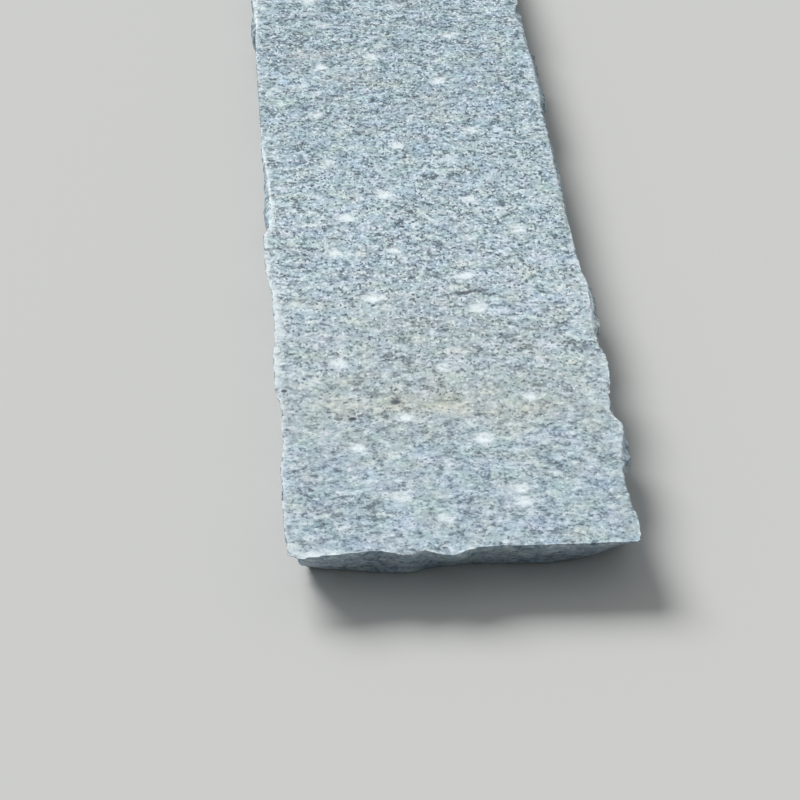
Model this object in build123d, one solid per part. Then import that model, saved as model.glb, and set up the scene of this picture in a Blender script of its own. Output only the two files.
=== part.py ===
from build123d import *
import os

# Granite kerb stone, one hand-split length lying on its bed face, in millimetres.
# Its length runs along Y with the measured end at -Y, its width along X, its height along Z.

# The stone's size between its nominal edge lines
LENGTH = 1000.0
WIDTH = 150.0
THICKNESS = 25.0

# Heights at which the split faces turn
LIP_DEPTH = 4.0
BELLY_DEPTH = 11.0
FOOT_HEIGHT = 6.0

# Both split sides tuck in below the belly, most at the bed
FOOT_TUCK = 0.8
BED_TUCK = 4.0

# The undercut of an end fades out along the sides over this length
NEAR_UNDERCUT_RUN = 120.0
FAR_UNDERCUT_RUN = 60.0

# Top edges of the two sides: distance from the near end, and how far the edge lies inside
# its nominal line (a negative one stands outside it)
LEFT_EDGE = [
    (20, 0.5), (72, 0.5), (90, 2.5), (126, 2.5), (137, 0.5), (170, 0.5), (182, 2), (206, 2.5),
    (228, 2), (243, 0), (252, -0.5), (284, -0.5), (300, 4), (327, 4.5), (350, 4), (390, 1.5),
    (480, 1.5), (506, 2), (533, 3.5), (560, 2.5), (602, 0.5), (640, 1), (676, 3), (710, 2.5),
    (748, 0.5), (790, 1.5), (822, 3.5), (858, 2), (900, 0.5), (936, 1.5), (968, 1),
]
RIGHT_EDGE = [
    (8, 1.5), (14, 1), (24, 0.5), (37, 2), (49, 2.5), (62, 2.5), (76, 2), (84, 0.5), (93, -1),
    (100, -1.5), (107, 1.5), (112, 2.5), (119, 1.5), (130, -0.5), (142, -2), (157, -2.5),
    (164, -1), (172, 0.5), (182, 1), (195, 0.5), (210, -1), (226, -1), (254, 0.5), (306, 1.5),
    (351, 1.5), (368, 0.5), (396, 0.5), (412, 1.5), (424, 1), (437, 0), (462, 0), (478, 0),
    (488, 0.5), (520, 0.5), (529, 3), (540, 3), (552, -0.5), (590, 0.5), (622, 2.5),
    (660, 1.5), (694, -0.5), (732, 0.5), (768, 3), (800, 1), (842, -1), (880, 1.5), (912, 2.5),
    (950, 0.5), (975, 1.5),
]

# Split faces of the two sides below their top edges: distance from the near end, and how far
# the face stands outside the nominal line (a negative one stands inside it)
LEFT_FACE = [
    (0, -6.5), (25, -5), (60, -4), (85, -4.5), (130, -4.5), (165, -3), (285, -3), (305, -1.5),
    (345, -1.5), (370, -3), (524, -3), (536, -1), (560, -1), (580, -3), (620, -1.5),
    (700, -2.5), (790, -1), (860, -2.5), (930, -1.5), (1000, -2.5),
]
RIGHT_FACE = [
    (0, -3), (10, -1.5), (24, -0.5), (40, -2.5), (60, -2.5), (74, 2.5), (88, 3), (100, 3),
    (112, 0), (176, 0), (190, 3), (200, 4), (220, 4), (237, 2.5), (250, 0), (310, 0),
    (335, 1.5), (362, 1.5), (385, 0), (413, 1), (424, 2), (436, 3), (470, 2.5), (484, 2.5),
    (500, 0.5), (527, 1.5), (547, 1.5), (565, 0), (640, 2), (705, 0), (770, 2.5), (835, 0.5),
    (895, 3), (960, 0.5), (1000, -1),
]

# Top edges of the two ends: distance across from the middle, and distance in from the end
# line; the first and last points are the stone's corners
NEAR_EDGE = [
    (-74, 5), (-69, 1.5), (-60, 3), (-44, 5), (-35, 5.5), (-29, 3), (-24, 1), (-18, 5),
    (-10, 1), (-5, 0), (0, 4), (6, 5.5), (36, 5.5), (57, 5), (61, 5.5), (72, 5),
]
FAR_EDGE = [
    (-73, 5), (-62, 1.5), (-46, 0), (-31, 3), (-12, 4.5), (3, 1), (21, 2), (38, 4),
    (54, 1), (66, 2), (73, 5.5),
]

# Bed edges of the two ends, in the same way: the near end is deeply undercut
NEAR_BED = [
    (-74, 32), (-50, 27.5), (-27, 25), (-14, 29), (14, 31), (33, 27.5), (56, 31), (66, 38),
    (72, 44),
]
FAR_BED = [(-73, 10), (-40, 6), (-8, 9), (30, 7), (73, 11)]

# The two sides, each with its top edge and its split face
LEFT_SIDE = {"edge": LEFT_EDGE, "face": LEFT_FACE}
RIGHT_SIDE = {"edge": RIGHT_EDGE, "face": RIGHT_FACE}

# Each level's depth, how far its sides have come from the top edge out to the split face,
# how far they tuck in again, and how far its ends have gone from the top edge to the bed
LEVELS = [
    (0.0, 0.0, 0.0, 0.0),
    (LIP_DEPTH, 1.0, 0.0, 0.13),
    (BELLY_DEPTH, 1.0, 0.0, 0.42),
    (THICKNESS - FOOT_HEIGHT, 1.0, FOOT_TUCK, 0.76),
    (THICKNESS, 1.0, BED_TUCK, 1.0),
]


def along(line, place):
    """Read a broken line of (place, distance) points at one place."""
    for (a, start), (b, stop) in zip(line, line[1:]):
        if place <= b:
            return start + (stop - start) * (place - a) / (b - a)
    return line[-1][1]


def half_width(side, station, inset, level):
    """The stone's width from its middle line out to one side, at a station and level."""
    _, out, tuck, _ = level
    return WIDTH / 2 - inset * (1 - out) + along(side["face"], station) * out - tuck


def end_points(edge, bed, station, level):
    """The points of an end from its left to its right corner, as (x, distance from the end)."""
    share = level[3]
    low, high = edge[0][0], edge[-1][0]
    left = half_width(LEFT_SIDE, station, WIDTH / 2 + low, level)
    right = half_width(RIGHT_SIDE, station, WIDTH / 2 - high, level)
    points = []
    for across, inset in edge:
        x = -left + (left + right) * (across - low) / (high - low)
        points.append((x, inset + share * (along(bed, across) - inset)))
    return points


def outward(side, distance):
    """A distance from the middle line out to one side, as x."""
    return -distance if side is LEFT_SIDE else distance


def corner_inset(line, side):
    """How far in from the end line a line across an end lies at one side's corner."""
    return (line[0] if side is LEFT_SIDE else line[-1])[1]


def side_points(side, level):
    """The points of one side from the near end to the far end, as (x, y)."""
    near_edge, near_bed = corner_inset(NEAR_EDGE, side), corner_inset(NEAR_BED, side)
    far_edge, far_bed = corner_inset(FAR_EDGE, side), corner_inset(FAR_BED, side)
    points = []
    for station, inset in side["edge"]:
        left_over = LENGTH - station
        if station <= near_edge or left_over <= far_edge:
            continue
        near_shift = (near_bed - near_edge) * max(0.0, 1 - station / NEAR_UNDERCUT_RUN)
        far_shift = (far_bed - far_edge) * max(0.0, 1 - left_over / FAR_UNDERCUT_RUN)
        x = outward(side, half_width(side, station, inset, level))
        points.append((x, station + level[3] * (near_shift - far_shift)))
    return points


def ring(level):
    """The stone's closed outline at one level, as points in order round the stone."""
    near = end_points(NEAR_EDGE, NEAR_BED, 0.0, level)
    far = end_points(FAR_EDGE, FAR_BED, LENGTH, level)
    far_line = [(x, LENGTH - y) for x, y in reversed(far)]
    right = side_points(RIGHT_SIDE, level)
    left = side_points(LEFT_SIDE, level)
    height = THICKNESS - level[0]
    return [(x, y, height) for x, y in near + right + far_line + list(reversed(left))]


def centred(rings):
    """The rings moved so that the stone's box stands centred on the origin."""
    xs = [x for outline in rings for x, _, _ in outline]
    ys = [y for outline in rings for _, y, _ in outline]
    middle_x = (min(xs) + max(xs)) / 2
    middle_y = (min(ys) + max(ys)) / 2
    return [[Vector(x - middle_x, y - middle_y, z) for x, y, z in outline] for outline in rings]


def flat_face(points):
    """A flat face inside a closed outline."""
    return Face(Wire.make_polygon(points, close=True))


def band(upper, lower):
    """The flat facets between two neighbouring levels."""
    facets = []
    for i in range(len(upper)):
        j = (i + 1) % len(upper)
        facets.append(flat_face([upper[i], upper[j], lower[j]]))
        facets.append(flat_face([upper[i], lower[j], lower[i]]))
    return facets


def kerb_stone():
    """The stone as one solid: a flat top, a flat bed and split faces all round."""
    rings = centred([ring(level) for level in LEVELS])
    faces = [flat_face(rings[0]), flat_face(rings[-1])]
    for upper, lower in zip(rings, rings[1:]):
        faces += band(upper, lower)
    return Solid(Shell(faces))


os.makedirs("parts", exist_ok=True)
stone = kerb_stone()
stone.label = "kerb_stone"
export_step(stone, "parts/kerb_stone.step")
box = stone.bounding_box()
print("kerb_stone", box.size, "volume", round(stone.volume), "valid", stone.is_valid)
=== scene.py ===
import itertools
import math

import bpy
import numpy as np
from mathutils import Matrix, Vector, kdtree


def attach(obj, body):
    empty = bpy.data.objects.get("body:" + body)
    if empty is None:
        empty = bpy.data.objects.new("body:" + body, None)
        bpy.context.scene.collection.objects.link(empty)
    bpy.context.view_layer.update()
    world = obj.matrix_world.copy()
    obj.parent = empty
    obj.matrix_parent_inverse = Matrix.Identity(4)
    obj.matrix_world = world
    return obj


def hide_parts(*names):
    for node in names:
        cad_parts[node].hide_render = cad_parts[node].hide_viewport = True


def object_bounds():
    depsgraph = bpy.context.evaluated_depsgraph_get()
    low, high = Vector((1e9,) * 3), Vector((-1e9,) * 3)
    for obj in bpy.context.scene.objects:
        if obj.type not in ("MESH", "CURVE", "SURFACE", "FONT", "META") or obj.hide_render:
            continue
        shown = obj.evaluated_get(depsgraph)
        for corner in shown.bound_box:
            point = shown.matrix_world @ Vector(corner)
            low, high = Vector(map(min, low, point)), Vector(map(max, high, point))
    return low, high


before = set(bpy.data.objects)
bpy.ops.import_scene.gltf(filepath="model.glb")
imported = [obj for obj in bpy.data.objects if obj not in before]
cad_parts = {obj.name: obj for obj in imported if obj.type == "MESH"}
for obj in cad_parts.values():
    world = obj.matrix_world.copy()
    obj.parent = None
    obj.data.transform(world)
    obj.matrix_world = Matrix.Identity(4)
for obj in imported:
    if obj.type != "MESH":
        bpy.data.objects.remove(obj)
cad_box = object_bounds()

# One granite kerb stone: the CAD solid is remeshed finely, its split faces and bruised edges
# are worked in mesh code, and its grain is one procedural material. Lengths are millimetres
# here, and are turned to metres where they go into Blender.
MM = 0.001
LOW = np.array(cad_box[0]) / MM
HIGH = np.array(cad_box[1]) / MM
NEAR_END = LOW[1]
TOP = HIGH[2]

# The middle line of the stone, from which places across are measured
MIDDLE_TO_LEFTMOST = 75.5
MIDDLE = LOW[0] + MIDDLE_TO_LEFTMOST

# Camera: a long lens that looks down along the stone from before its near end, with its
# angles in degrees
CAMERA_BEFORE_END = 1086.9
CAMERA_LEFT_OF_MIDDLE = 99.4
CAMERA_ABOVE_TOP = 730.0
CAMERA_DOWN = 31.0
CAMERA_RIGHT_TURN = 3.79
LENS = 143.96
SENSOR = 36.0

# Light: one broad soft sun, with the place it shines from and its width in degrees, and a
# plain pale sky
SUN_PLACE = (-1.3, 1.9, 2.0)
SUN_STRENGTH = 3.1
SUN_ANGLE = 32
SKY_COLOUR = (0.95, 0.98, 1.0, 1)
SKY_STRENGTH = 0.36

# Floor: half its width in metres, its colour and its roughness
FLOOR_REACH = 6.0
FLOOR_COLOUR = (0.6, 0.6, 0.58)
FLOOR_ROUGHNESS = 0.9

# Mesh: the voxel that the solid is remeshed with, and the triangles that are kept
VOXEL = 1.0
TRIANGLES = 190000

# Relief: how rough each kind of face is, how far the top and the bed are lowered so that
# their bumps stay inside the solid's box, how deep the pits of the tool marks are, and how
# much the facets tilt
SPLIT_ROUGHNESS = 0.3
TOP_ROUGHNESS = 0.16
TOP_LOWERED = 0.25
BED_ROUGHNESS = 0.5
BED_LOWERED = 0.6
PIT_DEPTH = 0.35
FACET_TILT = 1.6

# Rim of the top: how far below the top its chips and its crushing reach, and how finely its
# edge is divided
RIM_DEPTH = 8.0
EDGE_STEP = 0.5

# Where the crushed band of the rim widens: it does so on the left, up to a distance from the
# near end, and most after the first stretch. Each pair says where the change starts and ends.
RIM_LEFT = (-40, -60)
RIM_WIDE = (310, 280)
RIM_BROAD = (120, 150)

# The listed marks end at this distance from the near end, and more follow them in three rows
# over the rest of the length: their pitch, the rows' places across, and their scatter
LISTED_LENGTH = 545.0
MARK_PITCH = 19.0
MARK_ROWS = (-40, -2, 36)
MARK_SCATTER = 14

# White marks of the splitting tools on the top: across from the middle line, distance from
# the near end, radius, and how white the mark is
BRUISES = [
    (-35, 528, 4.5, 0.5), (32, 511, 4.5, 0.7), (-11, 486, 5.5, 0.9), (-39, 474, 4.5, 0.9),
    (23, 454, 5.0, 1.0), (-44, 416, 4.5, 0.7), (35, 393, 5.0, 0.8), (-4, 378, 5.0, 0.7),
    (-40, 361, 4.5, 0.5), (21, 359, 4.5, 0.1), (-14, 324, 6.0, 1.1), (27, 316, 4.5, 0.5),
    (-35, 300, 5.0, 0.9), (49, 283, 5.0, 0.8), (-42, 264, 5.0, 0.7), (-13, 266, 4.5, 1.0),
    (24, 276, 4.0, 0.6), (19, 238, 5.5, 0.5), (-26, 220, 6.0, 1.1), (23, 207, 5.0, 1.0),
    (-45, 160, 5.5, 0.9), (2, 153, 5.0, 0.6), (38, 126, 4.5, 0.9), (-18, 111, 5.0, 0.9),
    (15, 92, 5.5, 1.0), (-41, 87, 5.0, 0.9), (27, 50, 4.5, 0.8), (27, 40, 5.5, 0.6),
    (-24, 47, 5.5, 0.6), (-6, 29, 4.5, 0.7),
]

# Faint brown stains on the top: across, distance from the near end, half width, half length,
# strength
STAINS = [
    (0, 158, 120, 92, 0.34), (0, 118, 100, 42, 0.2), (-28, 121, 40, 12, 0.42),
    (-10, 124, 18, 8, 0.3), (16, 117, 44, 12, 0.3), (52, 116, 26, 8, 0.1),
    (-40, 490, 20, 8, 0.6), (-9, 452, 12, 5, 0.6), (18, 420, 26, 20, 0.3),
    (-20, 462, 18, 10, 0.4), (20, 720, 60, 22, 0.35), (-30, 880, 40, 16, 0.3),
]

# Dark inclusions in the top: across, distance from the near end, radius, how dark
SPECKS = [
    (-21, 124, 2.9, 0.85), (-70, 137, 1.7, 0.9), (-41, 111, 2.3, 0.95), (-43, 125, 1.1, 0.7),
    (-54, 129, 1.1, 0.7), (-47, 111, 2.0, 0.7), (-26, 212, 1.5, 0.8), (15, 221, 2.4, 0.8),
    (18, 221.5, 2.6, 0.85), (20.3, 222.5, 1.8, 0.8), (22.7, 223, 1.6, 0.8),
    (25, 222.6, 1.5, 0.8), (27.4, 222.8, 1.4, 0.7), (1, 393, 1.5, 0.8), (39, 410, 1.6, 0.8),
    (24, 417, 1.6, 0.8), (-13, 432, 2.0, 0.85), (-18, 475, 1.3, 0.8), (-23, 492, 1.4, 0.8),
    (-52, 610, 1.8, 0.9), (33, 690, 1.4, 0.8), (-8, 802, 1.9, 0.85), (44, 905, 1.5, 0.8),
]

# Stretches of the top, as distances from the near end, along which its grain changes; over the last
# one the stone is simply made darker towards the far end
GRAIN_SHARPENS = (60, 300)
MICA_STRENGTHENS = (60, 280)
CONTRAST_GROWS = (60, 200)
TURNS_GREENER = (200, 380)
DARKENS = (250, 520)
SHORT_GRAINS_END = 110.0

# Greys of the grains, from the darkest tone to the lightest
TONES = [
    (0.00, (0.05, 0.066, 0.086)),
    (0.22, (0.155, 0.208, 0.255)),
    (0.40, (0.335, 0.43, 0.486)),
    (0.60, (0.485, 0.59, 0.638)),
    (0.85, (0.72, 0.81, 0.843)),
]

# Colours that are laid over the grains
STAIN_GREY = (0.53, 0.565, 0.53)
MICA = (0.055, 0.072, 0.095)
DARK_GRAIN = (0.06, 0.08, 0.105)
WHITE_GRAIN = (0.80, 0.88, 0.91)
CRUSHED_WHITE = (0.84, 0.92, 0.945)
# The split faces' darker colour: partly the rough natural break's own tone, partly painted shade on
# the sides and the undercut end
SPLIT_TONE_AND_PAINTED_SHADE = (0.075, 0.118, 0.185)
INCLUSION = (0.03, 0.045, 0.065)

# Tints that the grains' colour is multiplied by
NO_TINT = (1, 1, 1)
GREEN_TINT = (0.97, 1.0, 1.0)
BROWN_TINT = (1.07, 1.0, 0.91)

# Factors and shifts of the hash that gives each cell of the noise its number
AXIS_FACTORS = (73856093, 19349663, 83492791)
SEED_FACTOR = 2654435761
MIXING = ((16, 2246822507), (13, 3266489909))
LAST_SHIFT = 16


def noise_cells(cells, seed):
    """A repeatable number from 0 to 1 for each whole-numbered cell."""
    whole = cells.astype(np.int64).astype(np.uint32)
    mixed = np.full(len(cells), seed * SEED_FACTOR % 2**32, np.uint32)
    for axis, factor in enumerate(AXIS_FACTORS):
        mixed ^= whole[:, axis] * np.uint32(factor)
    for shift, factor in MIXING:
        mixed ^= mixed >> np.uint32(shift)
        mixed *= np.uint32(factor)
    mixed ^= mixed >> np.uint32(LAST_SHIFT)
    return mixed.astype(np.float64) / 2**32


def noise_triples(cells, seed):
    """Three repeatable numbers from 0 to 1 for each whole-numbered cell."""
    return np.stack([noise_cells(cells, seed + axis) for axis in range(3)], axis=1)


def smooth_noise(points, seed):
    """Smooth noise from -1 to 1, with bumps about one unit across."""
    base = np.floor(points)
    part = points - base
    fade = part * part * part * (part * (part * 6 - 15) + 10)
    total = np.zeros(len(points))
    for corner in itertools.product((0, 1), repeat=3):
        offset = np.array(corner)
        weight = np.prod(np.where(offset == 1, fade, 1 - fade), axis=1)
        total += weight * noise_cells(base + offset, seed)
    return total * 2 - 1


def rough_noise(points, size, octaves, seed):
    """Layers of smooth noise, each half the size of the last and half as strong."""
    total = np.zeros(len(points))
    for octave in range(octaves):
        total += smooth_noise(points / (size / 2**octave), seed + octave) / 2**octave
    return total


def facets(points, size, seed):
    """Heights from about -1 to 1 over flat tilted facets of a given size."""
    scaled = points / size
    base = np.floor(scaled)
    nearest = np.full(len(points), np.inf)
    height = np.zeros(len(points))
    for corner in itertools.product((-1, 0, 1), repeat=3):
        cell = base + np.array(corner)
        spot = cell + noise_triples(cell, seed)
        tilt = noise_triples(cell, seed + 3) - 0.5
        gap = scaled - spot
        distance = (gap * gap).sum(axis=1)
        level = noise_cells(cell, seed + 6) * 2 - 1 + FACET_TILT * (gap * tilt).sum(axis=1)
        closer = distance < nearest
        nearest = np.where(closer, distance, nearest)
        height = np.where(closer, level, height)
    return height


def smooth_step(low, high, value):
    """0 at low, 1 at high and a smooth change between them."""
    share = np.clip((value - low) / (high - low), 0, 1)
    return share * share * (3 - 2 * share)


def read_vectors(collection, name):
    """A property of a mesh's elements as an array of vectors."""
    values = np.zeros(len(collection) * 3)
    collection.foreach_get(name, values)
    return values.reshape(-1, 3)


def write_places(mesh, places):
    """Put the vertices at places in millimetres, kept inside the solid's box."""
    mesh.vertices.foreach_set("co", (np.clip(places, LOW, HIGH) * MM).ravel())


def softened(vectors, mesh, rounds):
    """The vertices' vectors, each averaged with its neighbours' again and again."""
    ends = np.zeros(len(mesh.edges) * 2, np.int64)
    mesh.edges.foreach_get("vertices", ends)
    one, other = ends.reshape(-1, 2).T
    for _ in range(rounds):
        total = vectors.copy()
        for axis in range(3):
            total[:, axis] += np.bincount(one, vectors[other, axis], len(vectors))
            total[:, axis] += np.bincount(other, vectors[one, axis], len(vectors))
        vectors = total / np.linalg.norm(total, axis=1, keepdims=True)
    return vectors


def with_modifier(piece, kind, **settings):
    """Add one modifier, apply it and leave the piece with the resulting mesh."""
    modifier = piece.modifiers.new(kind.lower(), kind)
    for name, value in settings.items():
        setattr(modifier, name, value)
    graph = bpy.context.evaluated_depsgraph_get()
    result = bpy.data.meshes.new_from_object(piece.evaluated_get(graph))
    piece.modifiers.clear()
    piece.data = result


def triangle_count(mesh):
    """How many triangles the mesh's polygons make."""
    return sum(len(polygon.vertices) - 2 for polygon in mesh.polygons)


def top_edge(cad):
    """A search tree of finely spaced points along the edge of the solid's flat top."""
    mesh = cad.data

    # An edge of the flat top's outline belongs to one of its polygons, and any other to two
    uses = {}
    for polygon in mesh.polygons:
        if polygon.normal.z < 0.999 or polygon.center.z / MM < TOP - 0.1:
            continue
        places = [tuple(round(c / MM, 2) for c in mesh.vertices[i].co) for i in polygon.vertices]
        for pair in zip(places, places[1:] + places[:1]):
            key = tuple(sorted(pair))
            uses[key] = uses.get(key, 0) + 1
    points = []
    for (a, b), count in uses.items():
        steps = max(1, int(math.dist(a, b) / EDGE_STEP)) if count == 1 else 0
        points += [Vector(a).lerp(Vector(b), step / steps) for step in range(steps)]
    tree = kdtree.KDTree(len(points))
    for index, point in enumerate(points):
        tree.insert(point, index)
    tree.balance()
    return tree


def nearest_edge(tree, points):
    """For each point, the nearest place on the top's edge and the distance to it."""
    found = [tree.find(point) for point in points]
    return np.array([tuple(place) for place, _, _ in found]), np.array([f[2] for f in found])


def stations(points):
    """The points as (across from the middle line, distance from the near end)."""
    return points[:, 0] - MIDDLE, points[:, 1] - NEAR_END


def chip_depth(edge):
    """How deep the bruised top edge is broken back at places along it."""
    fine = np.abs(rough_noise(edge, size=5, octaves=3, seed=113))
    flake = np.maximum(0, facets(edge, size=7, seed=107))
    spall = smooth_step(0.45, 1.1, rough_noise(edge, size=26, octaves=2, seed=101))
    return 0.2 + 0.25 * fine + 0.4 * flake + 0.8 * spall


def all_bruises():
    """The marks that are listed, and more of them over the rest of the length."""
    marks = list(BRUISES)
    count = int((HIGH[1] - LOW[1] - LISTED_LENGTH) / MARK_PITCH)
    for index in range(count):
        across, along, size, white = (
            float(noise_cells(np.array([[index, turn, 0]]), seed=131)[0]) for turn in range(4)
        )
        x = MARK_ROWS[index % len(MARK_ROWS)] + MARK_SCATTER * (across - 0.5)
        y = LISTED_LENGTH + MARK_PITCH * (index + along)
        marks.append((x, y, 4.5 + 1.5 * size, 0.5 + 0.5 * white))
    return marks


def split_facets(places, normals):
    """How far the split sides and ends stand out, as flat facets below the top's edge.

    The facets grow with depth, and those of the left side lie inside the top's edge.
    """
    side = smooth_step(0.9, 0.3, np.abs(normals[:, 2]))
    left = smooth_step(-0.3, -0.8, normals[:, 0])
    end = smooth_step(0.3, 0.8, np.abs(normals[:, 1]))
    below_edge = smooth_step(TOP, TOP - 5, places[:, 2])
    depth = smooth_step(TOP - 3, TOP - 14, places[:, 2])
    bold = (0.55 + 0.85 * depth) * (1 - 0.5 * end)
    large = facets(places, size=26, seed=11)
    small = facets(places, size=9, seed=23)
    push = bold * (large + 0.45 * small - 0.2 - 0.9 * left)
    push -= 0.8 * left * np.maximum(0, push - 0.3)
    push *= side * below_edge
    return push + side * SPLIT_ROUGHNESS * rough_noise(places, size=4, octaves=3, seed=37)


def flat_relief(places, normals):
    """How far the top and the bed stand out: their fine roughness and the pits of the marks."""
    top = smooth_step(0.5, 0.95, normals[:, 2])
    bed = smooth_step(-0.5, -0.95, normals[:, 2])
    top_bumps = TOP_ROUGHNESS * rough_noise(places, size=22, octaves=3, seed=51)
    bed_bumps = BED_ROUGHNESS * rough_noise(places, size=40, octaves=4, seed=67)
    push = top * (top_bumps - TOP_LOWERED) + bed * (bed_bumps - BED_LOWERED)
    across, station = stations(places)
    for x, y, radius, white in all_bruises():
        gap = np.hypot(across - x, station - y)
        push -= top * PIT_DEPTH * white * smooth_step(radius, 0, gap)
    return push


def worked_surface(mesh, tree):
    """Move the vertices: split facets on the sides and ends, a fine rough top, bruised edges."""
    places = read_vectors(mesh.vertices, "co") / MM
    normals = read_vectors(mesh.vertex_normals, "vector")
    push = split_facets(places, normals) + flat_relief(places, normals)
    moved = places + normals * push[:, None]

    # The sharp edge of the top is broken back by chips, along the slope between its faces
    upper = places[:, 2] > TOP - RIM_DEPTH
    edge, reach = nearest_edge(tree, places[upper])
    bevel = softened(normals, mesh, rounds=5)[upper]
    sharp = smooth_step(0.92, 0.8, softened(normals, mesh, rounds=12)[upper, 2])
    cut = sharp * np.maximum(0, chip_depth(edge) - 0.7 * reach)
    moved[upper] -= bevel * cut[:, None]
    write_places(mesh, moved)
    mesh.update()


def crushed_rim(places, tree):
    """How white the stone is crushed along the rim of its top."""
    crush = np.zeros(len(places))
    upper = places[:, 2] > TOP - RIM_DEPTH
    edge, reach = nearest_edge(tree, places[upper])
    across, station = stations(edge)
    left = smooth_step(*RIM_LEFT, across)
    near = left * smooth_step(*RIM_WIDE, station)
    broad = near * smooth_step(*RIM_BROAD, station)
    width = 1.0 + 0.6 * chip_depth(edge) + near + 1.6 * broad
    patchy = 0.55 + 0.25 * left + (0.35 - 0.15 * left) * smooth_noise(edge / 9, seed=167)
    crush[upper] = patchy * smooth_step(1.0, 0.35, reach / width)
    return crush


def crushed(places, normals, tree):
    """How white the stone is crushed: the rim of its top, and the marks of the tools."""
    crush = crushed_rim(places, tree) * smooth_step(0.1, 0.5, normals[:, 2])
    wobble = np.zeros((len(places), 3))
    wobble[:, 0] = rough_noise(places, size=3, octaves=2, seed=151)
    wobble[:, 1] = rough_noise(places, size=3, octaves=2, seed=157)
    across, station = stations(places + 0.6 * wobble)
    facing_up = smooth_step(0.5, 0.9, normals[:, 2])
    for x, y, radius, white in all_bruises():
        gap = np.hypot(across - x, station - y)
        mark = (0.5 + 0.45 * white) * smooth_step(1.1 * radius, 0.45 * radius, gap)
        crush = np.maximum(crush, mark * facing_up)
    return crush


def stained(places, normals):
    """How strongly the top is stained brown."""
    across, station = stations(places)
    ripple = 0.3 * rough_noise(places, size=16, octaves=3, seed=163)
    stain = np.zeros(len(places))
    for x, y, half_width, half_length, strength in STAINS:
        gap = np.hypot((across - x) / half_width, (station - y) / half_length) + ripple
        stain += strength * smooth_step(1.1, 0.3, gap)
    return np.clip(stain, 0, 1) * smooth_step(0.3, 0.8, normals[:, 2])


def mark_surface(mesh, tree):
    """Give the vertices numbers for the material: crushed white, stained, and split faces, which get
    partly painted shade and coarser bumps.
    """
    places = read_vectors(mesh.vertices, "co") / MM
    normals = read_vectors(mesh.vertex_normals, "vector")
    crush = crushed(places, normals, tree)
    marks = {
        "crush": crush,
        "stain": stained(places, normals),
        # Split faces: all that do not face up; the material darkens them with partly painted shade
        "split": smooth_step(0.85, 0.4, normals[:, 2]) * np.clip(1 - crush, 0, 1),
    }
    for name, values in marks.items():
        mesh.attributes.new(name, "FLOAT", "POINT").data.foreach_set("value", values)


def stone_piece():
    """The dressed stone: the solid's mesh made fine, worked, thinned and marked."""
    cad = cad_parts["kerb_stone"]
    piece = bpy.data.objects.new("granite_stone", cad.data.copy())
    bpy.context.scene.collection.objects.link(piece)
    piece.data.materials.clear()
    with_modifier(piece, "REMESH", mode="VOXEL", voxel_size=VOXEL * MM)
    tree = top_edge(cad)
    worked_surface(piece.data, tree)
    with_modifier(piece, "DECIMATE", ratio=min(1.0, TRIANGLES / triangle_count(piece.data)))
    mesh = piece.data
    write_places(mesh, read_vectors(mesh.vertices, "co") / MM)
    mesh.polygons.foreach_set("use_smooth", [True] * len(mesh.polygons))
    mark_surface(mesh, tree)
    print("stone triangles", triangle_count(mesh))
    return piece


class Graph:
    """Short calls that make and link the shader nodes of one material."""

    def __init__(self, name):
        self.material = bpy.data.materials.new(name)
        self.material.use_nodes = True
        self.tree = self.material.node_tree
        self.shader = self.tree.nodes["Principled BSDF"]

    def put(self, socket, value):
        """Link a node's output to a socket, or set the socket to a plain value."""
        if isinstance(value, bpy.types.NodeSocket):
            self.tree.links.new(value, socket)
        else:
            socket.default_value = value

    def node(self, kind, inputs, **settings):
        """Add a node, with its inputs by name or number and its settings by name."""
        node = self.tree.nodes.new("ShaderNode" + kind)
        for name, value in settings.items():
            setattr(node, name, value)
        for name, value in inputs.items():
            self.put(node.inputs[name], value)
        return node

    def math(self, operation, a, b):
        return self.node("Math", {0: a, 1: b}, operation=operation).outputs[0]

    def vector(self, operation, a, b):
        return self.node("VectorMath", {0: a, 1: b}, operation=operation).outputs["Vector"]

    def distance(self, a, b):
        return self.node("VectorMath", {0: a, 1: b}, operation="DISTANCE").outputs["Value"]

    def mix(self, share, a, b, blend="MIX"):
        node = self.node("Mix", {0: share, 6: a, 7: b}, data_type="RGBA", blend_type=blend)
        return node.outputs[2]

    def between(self, value, low, high, start, stop):
        """A smooth change from start, where the value is at low, to stop, where it is at high."""
        inputs = {"Value": value, 1: low, 2: high, 3: start, 4: stop}
        return self.node("MapRange", inputs, interpolation_type="SMOOTHSTEP").outputs[0]

    def ramp(self, value, stops):
        node = self.node("ValToRGB", {0: value})
        elements = node.color_ramp.elements
        while len(elements) < len(stops):
            elements.new(0.5)
        for element, (place, colour) in zip(elements, stops):
            element.position = place
            element.color = (*colour, 1)
        return node.outputs["Color"]

    def noise(self, place, size, detail, roughness):
        inputs = {"Vector": place, "Scale": 1 / size, "Detail": detail, "Roughness": roughness}
        return self.node("TexNoise", inputs).outputs["Fac"]

    def noise_vector(self, place, size, detail):
        """Three noises round 0 as one vector."""
        inputs = {"Vector": place, "Scale": 1 / size, "Detail": detail}
        colour = self.node("TexNoise", inputs).outputs["Color"]
        return self.vector("SUBTRACT", colour, (0.5, 0.5, 0.5))

    def cells(self, place, size):
        """A random number from 0 to 1 for each irregular grain of about the given size."""
        inputs = {"Vector": place, "Scale": 1 / size}
        colour = self.node("TexVoronoi", inputs).outputs["Color"]
        return self.node("SeparateColor", {0: colour}).outputs[0]

    def soft_cells(self, place, size, softness):
        """As cells, with the numbers of neighbouring grains blended at their borders."""
        inputs = {"Vector": place, "Scale": 1 / size, "Smoothness": softness}
        colour = self.node("TexVoronoi", inputs, feature="SMOOTH_F1").outputs["Color"]
        return self.node("SeparateColor", {0: colour}).outputs[0]

    def attribute(self, name):
        return self.node("Attribute", {}, attribute_name=name).outputs["Fac"]


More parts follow.
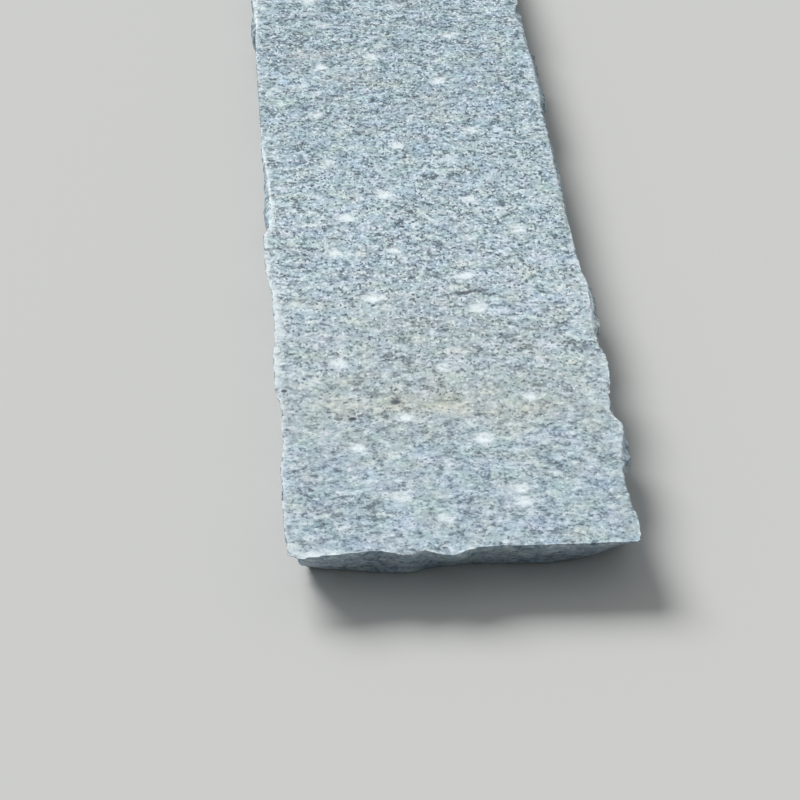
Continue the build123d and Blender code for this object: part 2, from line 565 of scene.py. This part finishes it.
class Granite(Graph):
    """The stone's material. Its methods each give one part of its look."""

    def __init__(self):
        super().__init__("granite")
        metres = self.node("TexCoord", {}).outputs["Object"]
        self.place = self.vector("MULTIPLY", metres, (1 / MM,) * 3)
        y = self.node("SeparateXYZ", {0: self.place}).outputs["Y"]
        self.station = self.math("SUBTRACT", y, NEAR_END)
        self.split = self.attribute("split")

        # The grains' outlines are warped. The finer grains are longer along the stone, but
        # less so near its near end.
        self.warp = self.noise_vector(self.place, 2.0, 3.0)
        warped = self.vector("ADD", self.place, self.warp)
        self.grain = self.vector("MULTIPLY", warped, (1.0, 1.1, 1.0))
        near_part = self.math("MINIMUM", self.station, SHORT_GRAINS_END)
        shorter = self.node("CombineXYZ", {"Y": self.math("MULTIPLY", near_part, 0.25)})
        longer = self.vector("MULTIPLY", warped, (1.15, 0.67, 1.15))
        self.small = self.vector("ADD", longer, shorter.outputs[0])

        self.softness = self.along(GRAIN_SHARPENS, 0.7, 0.25)
        self.crystal = self.soft_cells(self.grain, 2.2, self.softness)
        self.tone = self.brightness()

    def along(self, stretch, start, stop):
        """A smooth change from start to stop over a stretch of the stone's length."""
        return self.between(self.station, *stretch, start, stop)

    def about_zero(self, noise, weight):
        """A noise from 0 to 1 moved to lie round 0, times a weight."""
        return self.math("MULTIPLY", self.math("SUBTRACT", noise, 0.5), weight)

    def covered(self, colour, share, cover):
        """A colour with a share of a plain one laid over it."""
        return self.mix(share, colour, (*cover, 1))

    def tinted(self, colour, tint):
        """A colour multiplied by a tint."""
        return self.mix(1.0, colour, tint, "MULTIPLY")

    def brightness(self):
        """How bright the grains are: crystals, finer grains between them, clumps, blotches.

        The finer grains are faintest near the near end, and all is darker towards the far end.
        """
        fine = self.soft_cells(self.small, 1.0, self.softness)
        clump = self.noise(self.place, 6.0, 3.0, 0.6)
        blotch = self.noise(self.place, 15.0, 2.0, 0.6)
        tone = self.math("MULTIPLY", self.crystal, 0.46)
        tone = self.math("ADD", tone, self.about_zero(fine, self.along(GRAIN_SHARPENS, 0.29, 0.38)))
        tone = self.math("ADD", tone, self.math("MULTIPLY", clump, 0.80))
        tone = self.math("ADD", tone, self.about_zero(blotch, 0.36))
        tone = self.math("SUBTRACT", tone, 0.64)
        tone = self.math("MULTIPLY", tone, self.along(CONTRAST_GROWS, 0.95, 1.0))
        tone = self.math("ADD", tone, 0.5)
        # Darker towards the far end
        return self.math("SUBTRACT", tone, self.along(DARKENS, 0.0, 0.05))

    def grain_colour(self):
        """Greys that drift between violet, blue and green, and are browner in the stains."""
        colour = self.ramp(self.tone, TONES)
        drift = self.noise_vector(self.place, 12.0, 1.0)
        drift = self.vector("MULTIPLY", drift, (0.28, 0.0, 0.34))
        colour = self.tinted(colour, self.vector("ADD", drift, NO_TINT))
        green = self.tinted(colour, (*GREEN_TINT, 1))
        colour = self.mix(self.along(TURNS_GREENER, 0.0, 1.0), colour, green)
        stain = self.attribute("stain")
        colour = self.covered(colour, self.math("MULTIPLY", stain, 0.35), STAIN_GREY)
        return self.tinted(colour, self.mix(stain, (*NO_TINT, 1), (*BROWN_TINT, 1)))

    def flecked(self, colour):
        """Flakes of mica in loose clusters, single larger dark grains and a few white ones."""
        crowd = self.noise(self.place, 7.0, 1.0, 0.5)
        strong = self.along(MICA_STRENGTHENS, 0.4, 0.74)
        many = self.between(crowd, 0.35, 0.7, 0.03, 0.15)
        flake = self.math("LESS_THAN", self.cells(self.small, 1.0), many)
        colour = self.covered(colour, self.math("MULTIPLY", flake, strong), MICA)
        bold = self.along(GRAIN_SHARPENS, 0.55, 0.7)
        few = self.between(crowd, 0.4, 0.75, 0.0, 0.08)
        dark = self.math("LESS_THAN", self.cells(self.grain, 1.7), few)
        colour = self.covered(colour, self.math("MULTIPLY", dark, bold), DARK_GRAIN)
        white = self.math("GREATER_THAN", self.cells(self.small, 1.2), 0.94)
        return self.covered(colour, self.math("MULTIPLY", white, strong), WHITE_GRAIN)

    def marked(self, colour):
        """The rim and the tool marks crushed white, the split faces darker with partly painted shade,
        the inclusions.
        """
        brighter = self.between(self.tone, 0.2, 0.5, 0.7, 1.0)
        crush = self.math("MULTIPLY", self.attribute("crush"), brighter)
        colour = self.covered(colour, crush, CRUSHED_WHITE)
        # Painted shade, partly the split faces' own darker tone: the sides and ends, which do not
        # face up, are darkened
        colour = self.covered(colour, self.math("MULTIPLY", self.split, 0.3), SPLIT_TONE_AND_PAINTED_SHADE)
        raggedness = self.vector("MULTIPLY", self.warp, (1.4, 1.8, 0.0))
        ragged = self.vector("ADD", self.place, raggedness)
        for x, y, radius, darkness in SPECKS:
            gap = self.distance(ragged, (MIDDLE + x, NEAR_END + y, TOP))
            speck = self.between(gap, radius, radius * 0.5, 0.0, darkness)
            colour = self.covered(colour, speck, INCLUSION)
        return colour

    def bumps(self):
        """The fine relief of the grains, which is coarser on the split faces."""
        fine = self.noise(self.place, 1.5, 4.0, 0.65)
        coarse = self.math("MULTIPLY", self.noise(self.place, 5.0, 3.0, 0.6), 4.0)
        height = self.math("ADD", self.math("MULTIPLY", self.crystal, 0.5), fine)
        height = self.math("ADD", height, self.math("MULTIPLY", coarse, self.split))
        bump = self.node("Bump", {"Height": height, "Strength": 0.5, "Distance": 0.4 * MM})
        return bump.outputs[0]


def granite():
    """The stone's material with all its parts put together."""
    look = Granite()
    look.put(look.shader.inputs["Base Color"], look.marked(look.flecked(look.grain_colour())))
    look.put(look.shader.inputs["Roughness"], look.between(look.crystal, 0.0, 1.0, 0.65, 0.9))
    look.put(look.shader.inputs["Normal"], look.bumps())
    return look.material


def plain_material(name, colour, roughness):
    """A material of one colour."""
    material = bpy.data.materials.new(name)
    material.use_nodes = True
    shader = material.node_tree.nodes["Principled BSDF"]
    shader.inputs["Base Color"].default_value = (*colour, 1)
    shader.inputs["Roughness"].default_value = roughness
    return material


def floor():
    """A plain level floor under the stone."""
    mesh = bpy.data.meshes.new("floor")
    corners = [(FLOOR_REACH * x, FLOOR_REACH * y, 0) for x, y in ((-1, -1), (1, -1), (1, 1), (-1, 1))]
    mesh.from_pydata(corners, [], [(0, 1, 2, 3)])
    plane = bpy.data.objects.new("floor", mesh)
    bpy.context.scene.collection.objects.link(plane)
    plane.data.materials.append(plain_material("floor", FLOOR_COLOUR, FLOOR_ROUGHNESS))


def lights():
    """The sky and the sun."""
    world = bpy.data.worlds.new("studio")
    bpy.context.scene.world = world
    world.use_nodes = True
    background = world.node_tree.nodes["Background"]
    background.inputs["Color"].default_value = SKY_COLOUR
    background.inputs["Strength"].default_value = SKY_STRENGTH
    lamp = bpy.data.lights.new("soft_key", "SUN")
    lamp.energy = SUN_STRENGTH
    lamp.angle = math.radians(SUN_ANGLE)
    key = bpy.data.objects.new("soft_key", lamp)
    bpy.context.scene.collection.objects.link(key)
    key.location = SUN_PLACE
    key.rotation_euler = (-key.location).to_track_quat("-Z", "Y").to_euler()


def camera():
    """The camera that sees the stone as the photo does."""
    data = bpy.data.cameras.new("camera")
    data.sensor_fit = "HORIZONTAL"
    data.sensor_width = SENSOR
    data.lens = LENS
    data.clip_start = 0.05
    eye = bpy.data.objects.new("camera", data)
    bpy.context.scene.collection.objects.link(eye)
    eye.location = (
        (MIDDLE - CAMERA_LEFT_OF_MIDDLE) * MM,
        (NEAR_END - CAMERA_BEFORE_END) * MM,
        (TOP + CAMERA_ABOVE_TOP) * MM,
    )
    eye.rotation_euler = (math.radians(90 - CAMERA_DOWN), 0, -math.radians(CAMERA_RIGHT_TURN))
    bpy.context.scene.camera = eye


stone = stone_piece()
stone.data.materials.append(granite())
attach(stone, "root")
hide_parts("kerb_stone")
floor()
lights()
camera()
bpy.context.scene.view_settings.view_transform = "Standard"
